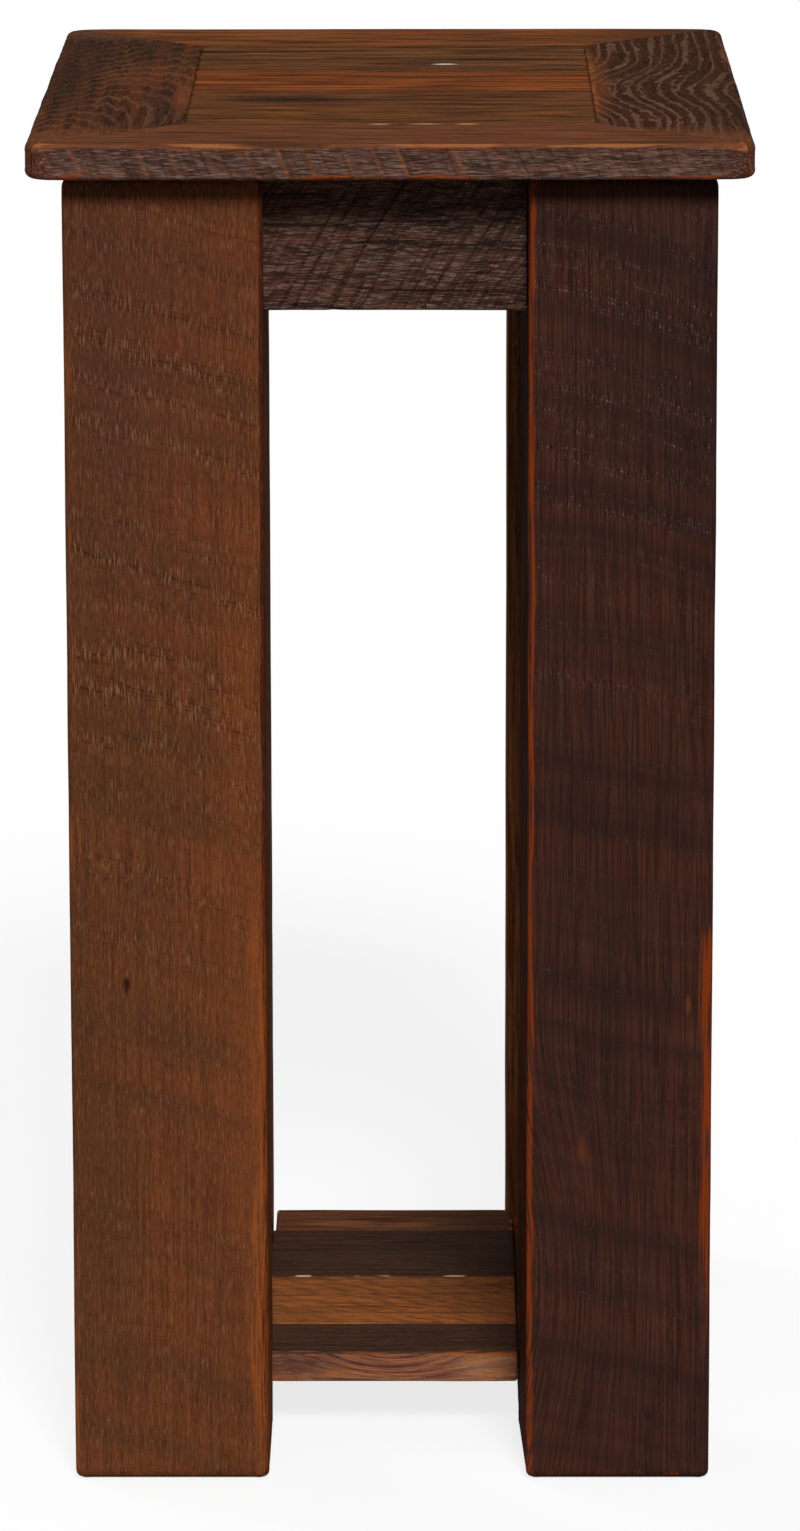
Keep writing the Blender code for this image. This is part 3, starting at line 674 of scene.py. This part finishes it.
# Looks of the posts, aprons and rails
LOOKS = {
    "post_left": Look(
        "6D3D21", "552D19", tint="7A3E1D", line="402214", stain="482D1C", dust_and_glint="98704E", pit="26140D",
        worn="86461F", kerf="886650", ring=5.0, ring_share=0.15, fibre=(45, 1.3), broad_share=0.6,
        stain_share=0.1, dust_and_glint_share=0.45, kerf_share=0.0, cut=(1.8, 19, 0.8), sweep=(30, 0.5), rough=0.85,
        marks=((-74, -21, 6, 3, "1E0F0A", 0.9), (-60, 36, 320, 18, "7A3F1F", 0.3),
               (250, -10, 210, 70, "522C26", 0.3))),
    # Painted shade: a darker look for the front left post's inner front edge, which turns away from the light
    "post_left_arris_shaded": Look("4A2012", "34170D", tint="56240F", rough=0.85),
    "post_right": Look(
        "482B21", "321C15", tint="52261B", line="1A0F0C", stain="241816", dust_and_glint="5A443E", pit="170C09",
        # Its grey kerf colour paints glints where the fine scratches cross standing fibres
        worn="76300F", kerf="7E7070", ring=5.5, ring_share=0.38, ripple=2.4, pith=(170, -60), sway=8.0,
        swirl=(-228, -47, 150, 75, 20), fibre=(60, 1.3), broad_share=0.5, tint_share=0.3, stain_share=0.1,
        kerf_share=0.0, cut=(2.0, 14, 0.7), stray_cut=0.05, sweep=(22, 0.5), rough=0.85,
        marks=((-159, -18, 9, 3, "6A3414", 0.4), (-84, 35, 7, 2, "7A3C14", 0.5),
               # painted sheen: a grey veil over the upper part of the post
               (240, 15, 150, 50, "2C201B", 0.25))),
    # Painted light: the back posts are coloured lighter to make up for the shadow that the front right post
    # casts on them
    "post_back_lightened": Look(
        "8E5934", "5D3A22", dust_and_glint="926C48", worn="6A3212", kerf_share=0.0, fibre=(45, 1.8), rough=0.85),
    "apron": Look(
        "583C32", "33221B", tint="5E3224", line="241611", stain="2A1C16", dust_and_glint="8E786C", pit="170F0C",
        worn="5E3622", kerf="1C1310", ring=3.0, ring_share=0.3, fibre=(22, 2.2), stain_share=0.1,
        kerf_share=0.85, dust_and_glint_share=0.5, cut=(2.4, -31, 0.5), stray_cut=0.7, relief=2.5, rough=0.75),
    "rail": Look("42291B", "2E1C14", rough=0.85),
}
# Painted shade: a darker, warmer copy of the right post's look for its inner face, which lies in shade
LOOKS["post_right_inner_shaded"] = replace(
    LOOKS["post_right"], pale="47220F", dark="2C1208", stain="22120B", gloss=0.015, marks=())

# Looks of the top's frame, and of the sawn outer edges of its boards
LOOKS |= {
    "frame_front": Look(
        "6E4028", "3C2317", tint="7E4424", line="452818", worn="8A5433", stain="3A2A22", fibre=(45, 3),
        # Its marks are painted glints along the seam at the board's inner edge
        marks=((-5, 35, 7, 3, "B89878", 0.7), (17, 35, 12, 3, "B89878", 0.7),
               (38, 35, 8, 3, "B89878", 0.7))),
    "frame_back": Look(
        "844A22", "452614", tint="8E4E22", worn="8A4E2C", fibre=(60, 6),
        marks=((165, 0, 90, 80, "3C2416", 0.7), (-168, 0, 40, 80, "4A2C1A", 0.5))),
    "frame_left": Look(
        "422515", "27150D", tint="5C2E17", line="6C4C38", worn="703A1E", ring=5.0, ring_share=0.48,
        ring_edge=0.2, pith=(-50, 12), tilt=11.0, sway=3.5, fibre=(30, 3), tint_share=0.7, broad_share=0.6,
        marks=((20, 4, 60, 20, "6E3B1E", 0.3), (10, -27, 170, 20, "2A1B13", 0.6),
               (-60, 37, 70, 11, "7A4220", 0.4), (-212, 0, 60, 80, "6A3C24", 0.8),
               (205, 0, 40, 80, "5E3E2C", 0.6))),
    "frame_right": Look(
        "3A2114", "28150C", tint="472716", line="66483A", worn="7C4622", ring=6.5, ring_share=0.9,
        ring_edge=0.3, pith=(0, -60), ripple=2.4, swirl=(-25, -50, 140, 130, 22), fibre=(30, 3),
        marks=((-212, 0, 60, 80, "6A3E26", 0.8), (0, -37, 220, 12, "6C381B", 0.6))),
    "slab_side": Look(
        "62443A", "402B22", tint="6A4230", line="34241C", worn="7E3C1E", kerf="94542E", dust_and_glint="8E8078",
        pit="20140F", stain="3A2A22", fibre=(14, 2.4), dust_and_glint_share=0.5, kerf_share=0.9, cut=(3.0, 24, 0.5),
        stray_cut=0.7, relief=2.5, rough=0.75, gloss=0.05, marks=((-224, 0, 22, 40, "5E2A1A", 0.8),)),
}
LOOKS["slab_front"] = replace(LOOKS["slab_side"], marks=(
    (-176, 0, 16, 40, "602A1A", 0.65), (176, 0, 14, 40, "4E2418", 0.8)))

# Looks of the top's planks
LOOKS |= {
    "panel_gold": Look(
        "70472A", "2A1B11", tint="824C20", stain="1A1310", stain_share=0.6, stain_size=(110, 7), ring=5.0,
        fibre=(60, 6)),
    "panel_brown": Look(
        "744726", "321F15", tint="844A20", stain="221A15", stain_share=0.5, stain_size=(110, 5),
        # its second mark, pale grey, is a painted glint
        fibre=(45, 3), marks=((50, 20, 70, 9, "1C1512", 0.8), (27, 1, 9, 4, "D0C8C0", 0.9))),
    "panel_orange": Look(
        "8A461E", "3A1D0E", tint="A25620", stain="2E1C14", stain_share=0.4, stain_size=(110, 5), ring=5.0,
        fibre=(60, 6)),
    "panel_dark": Look(
        "704222", "2E1E14", tint="7E4420", stain="1A1614", stain_share=0.4, stain_size=(110, 5),
        fibre=(45, 3), marks=((-50, -6, 55, 13, "15100D", 0.85),)),
    "panel_red": Look(
        "744622", "2E1C11", tint="80461E", stain="2A2019", stain_share=0.4, stain_size=(110, 5),
        fibre=(45, 3)),
}

# Looks of the shelf's planks, with a little more gloss
LOOKS |= {
    "shelf_edge": Look(
        "A2623C", "623B2E", tint="A66232", line="46282A", stain="3A2422", dust_and_glint="B8957C", worn="9A5424",
        ring=11.0, ring_share=1.0, sway=4.0, swirl=(2, 14, 60, 28, 34), fibre=(25, 1.6), stain_share=0.2,
        # its second mark is painted light, which lifts its right end out of the front right post's shadow
        gloss=0.1, marks=((-50, 2, 30, 12, "50302A", 0.8), (52, 0, 32, 16, "AC7650", 0.5))),
    "shelf_front": Look(
        "41291E", "2C1C14", tint="4A2B1D", stain="1E1612", worn="8A451A", fibre=(40, 3), gloss=0.1),
    "shelf_gold": Look(
        "905026", "603617", tint="9E5A21", line="46281A", stain="3A2414", worn="A0622C", dust_and_glint="C08A50",
        ring=6.0, ring_share=0.6, ring_edge=-0.1, tilt=16.0, sway=4.0, ripple=0.5, fibre=(40, 2.2),
        stain_share=0.1, gloss=0.1),
    "shelf_dark": Look(
        # its pale worn colour paints the glint dashes along its front edge
        "40291C", "281911", tint="472A1B", stain="1A1311", worn="A8947C", stain_share=0.25, fibre=(40, 3),
        gloss=0.1),
    "shelf_brown": Look(
        "6C3F25", "462716", tint="784220", stain="2E1E15", worn="A08060", fibre=(40, 4), gloss=0.1,
        marks=((-30, -6, 26, 9, "84532F", 0.5), (8, -10, 20, 7, "84532F", 0.5),
               (50, 0, 30, 40, "3A2418", 0.5))),
}


# The nightstand


def span_between(first, second, axis):
    """From the far face of one node to the near face of another, with the housings at both ends."""
    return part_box(first)[1][axis] - HOUSING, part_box(second)[0][axis] + HOUSING


def box_with(node, axis, span):
    """A node's box with another span along one axis."""
    low, high = (v.copy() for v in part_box(node))
    low[axis], high[axis] = span
    return low, high


def round_top_corners(points):
    """Draw the square corners of the top in to arcs."""
    reach = np.array([CAD_HIGH.x, CAD_HIGH.y]) - TOP_CORNER_RADIUS
    past = np.abs(points[:, :2]) - reach
    at = (past > 0).all(axis=1)
    shrink = past[at].max(axis=1) / np.hypot(past[at, 0], past[at, 1])
    points[at, :2] = np.sign(points[at, :2]) * (reach + past[at] * shrink[:, None])
    return points


def mitred(along, across, side):
    """A bend that cuts a board's ends at 45 degrees from its outer edge in."""
    def bend(points):
        points = points.copy()
        inset = CAD_HIGH[across] - side * points[:, across]
        points[:, along] *= (CAD_HIGH[along] - inset - SEAM) / CAD_HIGH[along]
        return round_top_corners(points)
    return bend


def make_top():
    """Four mitred boards round five planks."""
    boards = (
        dict(node="top_front_board", along=X, look="frame_front", other_look=(3, -1, "slab_front"),
             arris=(2.4, 0.2, 0.2, 1.8), wear=(0.7, 0.1, 0.1, 0.9)),
        dict(node="top_back_board", along=X, look="frame_back", other_look=(1, -2, "slab_side"),
             arris=(0.2, 2.4, 2.4, 0.2), wear=(0.1, 0.4, 0.6, 0.1)),
        dict(node="top_left_board", along=Y, look="frame_left", other_look=(0, -1, "slab_side"),
             arris=(3.2, 4.0, 0.2, 0.2), wear=(0.4, 0.2, 0.1, 0.1), rubs=((2, -150, 150, 20, 0.35),)),
        dict(node="top_right_board", along=Y, look="frame_right", other_look=(2, -4, "slab_side"),
             arris=(0.2, 0.2, 4.0, 3.2), wear=(0.1, 0.1, 0.25, 0.4), rubs=((1, -170, 170, 4, 0.6),)),
    )
    # Whether each board lies on the low or the high side of the middle
    sides = (-1, 1, -1, 1)
    for number, (board, side) in enumerate(zip(boards, sides)):
        along = board["along"]
        across = Y if along == X else X
        low, high = box_with(board["node"], along, (CAD_LOW[along], CAD_HIGH[along]))
        outer = board["other_look"][:1]
        saw = Saw(pitch=17, lean=22, width=0.8, depth=0.5, radius=60, stray=0.5, faces=outer, grow=(90, -30))
        add_bar(Bar(low=low, high=high, seed=SEEDS["boards"] + number, meet=4.0, wear_reach=0.8,
                    end_arris=0.1, step=1.5, uneven=0.3, ridge=0.6 if along == X else 0.3,
                    ridge_size=(14, 4), ridge_faces=outer, saws=(saw,), bend=mitred(along, across, side),
                    **board))
    ends = (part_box("top_left_board")[1].x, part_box("top_right_board")[0].x)
    looks = ("panel_red", "panel_dark", "panel_orange", "panel_brown", "panel_gold")
    for number, look in enumerate(looks):
        node = f"top_plank_{number + 1}"
        low, high = box_with(node, X, ends)
        add_bar(Bar(node, X, low, high, look, SEEDS["planks"] + number, arris=(0.2,) * 4, wear=(0.2,) * 4,
                    wear_reach=0.5, end_arris=0.1, uneven=0.2, ridge=0.1))


def make_legs():
    """Four posts of rough-sawn timber."""
    left_saws = (Saw(pitch=22, lean=19, width=6, depth=0.35, stray=0.5, grow=(150, 500)),)
    right_saws = (Saw(pitch=20, lean=14, width=5, depth=0.25, stray=0.5, grow=(330, 600)),)
    posts = {
        "leg_front_left": dict(
            look="post_left", saws=left_saws, wear=(0.35, 0.0, 0.4, 0.4), rubs=((1, -200, 420, 9, 0.55),),
            # its inner front edge takes a look with painted shade
            other_look=(-2, "post_left_arris_shaded")),
        "leg_front_right": dict(
            look="post_right", saws=right_saws, wear=(0.5, 0.1, 0.4, 0.4),
            shift=((1.5, 0), (0, 0), (0, 0), (-1.2, 0)),
            rubs=((0, -200, 560, 0.8, 0.75), (0, 300, 620, 1.4, 0.7), (0, 520, 760, 0.7, 0.5),
                  (1, 215, 300, 4, 0.85), (1, 50, 290, 3, 0.85)),
            # its inner face takes a look with painted shade
            other_look=(3, "post_right_inner_shaded")),
        # the back posts take a look with painted light
        "leg_back_left": dict(look="post_back_lightened", saws=left_saws, wear=(0.4,) * 4),
        "leg_back_right": dict(look="post_back_lightened", saws=right_saws, wear=(0.4,) * 4),
    }
    for seed, (node, own) in enumerate(posts.items(), start=SEEDS["legs"]):
        low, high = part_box(node)
        add_bar(Bar(node, Z, low, high, seed=seed, arris=(2.4,) * 4, end_wear=0.8, end_arris=5.0, ridge=0.2,
                    **own))


def make_aprons():
    """Four aprons between the posts."""
    saw = Saw(pitch=9, lean=-31, width=0.9, depth=0.8, radius=-900, stray=0.4)
    places = (
        ("apron_front", X, "leg_front_left", "leg_front_right"),
        ("apron_back", X, "leg_back_left", "leg_back_right"),
        ("apron_left", Y, "leg_front_left", "leg_back_left"),
        ("apron_right", Y, "leg_front_right", "leg_back_right"),
    )
    for seed, (node, along, first, second) in enumerate(places, start=SEEDS["aprons"]):
        low, high = box_with(node, along, span_between(first, second, along))
        add_bar(Bar(node, along, low, high, "apron", seed, arris=(1.2,) * 4, step=1.0, ridge=0.7,
                    ridge_size=(24, 3.5), crack=0.5, saws=(saw,), end_arris=0.5))


def make_shelf():
    """Four planks between two rails."""
    for seed, side in enumerate(("left", "right"), start=SEEDS["rails"]):
        node = f"shelf_rail_{side}"
        low, high = box_with(node, Y, span_between(f"leg_front_{side}", f"leg_back_{side}", Y))
        add_bar(Bar(node, Y, low, high, "rail", seed, end_arris=0.5))
    ends = (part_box("shelf_rail_left")[1].x + 2 * SEAM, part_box("shelf_rail_right")[0].x - 2 * SEAM)
    rubbed_ends = ((3, -80, -30, 1.2, 0.9), (3, 25, 80, 1.2, 0.9))
    # Painted glints: pale dashes along the third plank's front edge, drawn as rubbed stretches
    glint_dashes = ((-55, -42), (-23, -17), (-12, 0), (24, 41))
    edge_flecks = tuple((3, start, stop, 0.4, 0.65) for start, stop in glint_dashes)
    planks = (
        dict(look="shelf_front", wear=(0, 0, 0, 0.6), end_wear=0.3, rubs=rubbed_ends,
             other_look=(3, -1, "shelf_edge")),
        dict(look="shelf_gold", wear=(0, 0, 0, 0.3), end_wear=0.3),
        dict(look="shelf_dark", wear=(0, 0, 0, 0), rubs=edge_flecks),
        dict(look="shelf_brown", wear=(0, 0, 0, 0.2), end_wear=0.9),
    )
    # How far each plank stops short of the left rail
    short = (0, 0, 0, 1.5 * MM)
    for number, plank in enumerate(planks):
        node = f"shelf_plank_{number + 1}"
        low, high = box_with(node, X, (ends[0] + short[number], ends[1]))
        add_bar(Bar(node, X, low, high, seed=SEEDS["shelf"] + number, arris=(1.0, 0.8, 0.8, 1.2),
                    wear_reach=0.8, step=1.4, **plank))


def finish_fixings():
    """Give the battens, cleats, splines and screws under the top their finishes."""
    finishes = {"inner_wood": sawn_pine(), "screw_steel": zinc_plate()}
    for node, piece in frame["nodes"].items():
        if slot_of[node] in finishes:
            piece.material_slots[0].material = finishes[slot_of[node]]


# The stage


def make_floor():
    """A sheet of white paper that keeps the shadow. For the light that it throws back it is a grey card."""
    mesh = bpy.data.meshes.new("floor")
    corners = ((-1, -1), (1, -1), (1, 1), (-1, 1))
    mesh.from_pydata([(FLOOR_REACH * x, FLOOR_REACH * y, 0) for x, y in corners], [], [(0, 1, 2, 3)])
    floor = bpy.data.objects.new("floor", mesh)
    floor.location.z = -FLOOR_GAP
    bpy.context.collection.objects.link(floor)
    material, tree = new_material("white_paper")
    node = partial(add, tree)
    path = node("LightPath").node.outputs
    seen = node("Math", {0: path["Is Camera Ray"], 1: path["Is Glossy Ray"]}, operation="MAXIMUM")
    seen = node("Math", {0: seen, 1: path["Is Transmission Ray"]}, operation="MAXIMUM")
    tone = node("Mix", {0: seen, 6: linear("8A8A8A"), 7: linear("F4F4F4")}, out=2, data_type="RGBA")
    share = node("Math", {0: seen, 1: PAPER_GLOW}, operation="MULTIPLY")
    paper = node("BsdfDiffuse", {"Color": tone})
    glow = node("Emission", {"Color": (1, 1, 1, 1), "Strength": 1.0})
    node("OutputMaterial", {0: node("MixShader", {0: share, 1: paper, 2: glow})})
    mesh.materials.append(material)


def make_lamp(name, strength, spread, towards, glints=True):
    """A far lamp in a direction, with soft shadows. Without glints it doesn't show in the gloss."""
    data = bpy.data.lights.new(name, "SUN")
    data.energy = strength
    data.angle = math.radians(spread)
    lamp = bpy.data.objects.new(name, data)
    lamp.rotation_euler = Vector(towards).to_track_quat("Z", "Y").to_euler()
    lamp.visible_glossy = glints
    bpy.context.collection.objects.link(lamp)


def make_light():
    """A soft key from the front right above, a weak one from the back left, and a fill from overhead."""
    make_lamp("key", strength=3.2, spread=17, towards=(0.10, -0.76, 0.64))
    make_lamp("back_fill", strength=0.9, spread=30, towards=(-0.63, 0.53, 0.57), glints=False)
    world = bpy.data.worlds.new("overhead_fill")
    world.use_nodes = True
    tree = world.node_tree
    tree.nodes.clear()
    node = partial(add, tree)
    height = node("SeparateXYZ", {0: node("TexCoord", out="Generated")}, out="Z")
    strength = node("MapRange", {0: height, 1: 0.1, 2: 1.0, 3: FILL_LOW, 4: FILL_HIGH})
    sky = node("Background", {"Color": (1, 1, 1, 1), "Strength": strength})
    node("OutputWorld", {0: sky})
    bpy.context.scene.world = world


def make_camera():
    """The photograph's view: a long lens in front, a little from above."""
    data = bpy.data.cameras.new("camera")
    data.sensor_width = SENSOR
    data.lens = LENS
    data.clip_end = CLIP_END
    camera = bpy.data.objects.new("camera", data)
    pitch, yaw, roll = (math.radians(angle) for angle in (PITCH, YAW, ROLL))
    turn = Matrix.Rotation(-yaw, 4, "Z") @ Matrix.Rotation(math.pi / 2 - pitch, 4, "X")
    turn = turn @ Matrix.Rotation(roll, 4, "Z")
    camera.matrix_world = Matrix.Translation(CAMERA_PLACE) @ turn
    bpy.context.collection.objects.link(camera)
    bpy.context.scene.camera = camera


make_top()
make_legs()
make_aprons()
make_shelf()
finish_fixings()
make_floor()
make_light()
make_camera()
bpy.context.scene.view_settings.view_transform = "Standard"
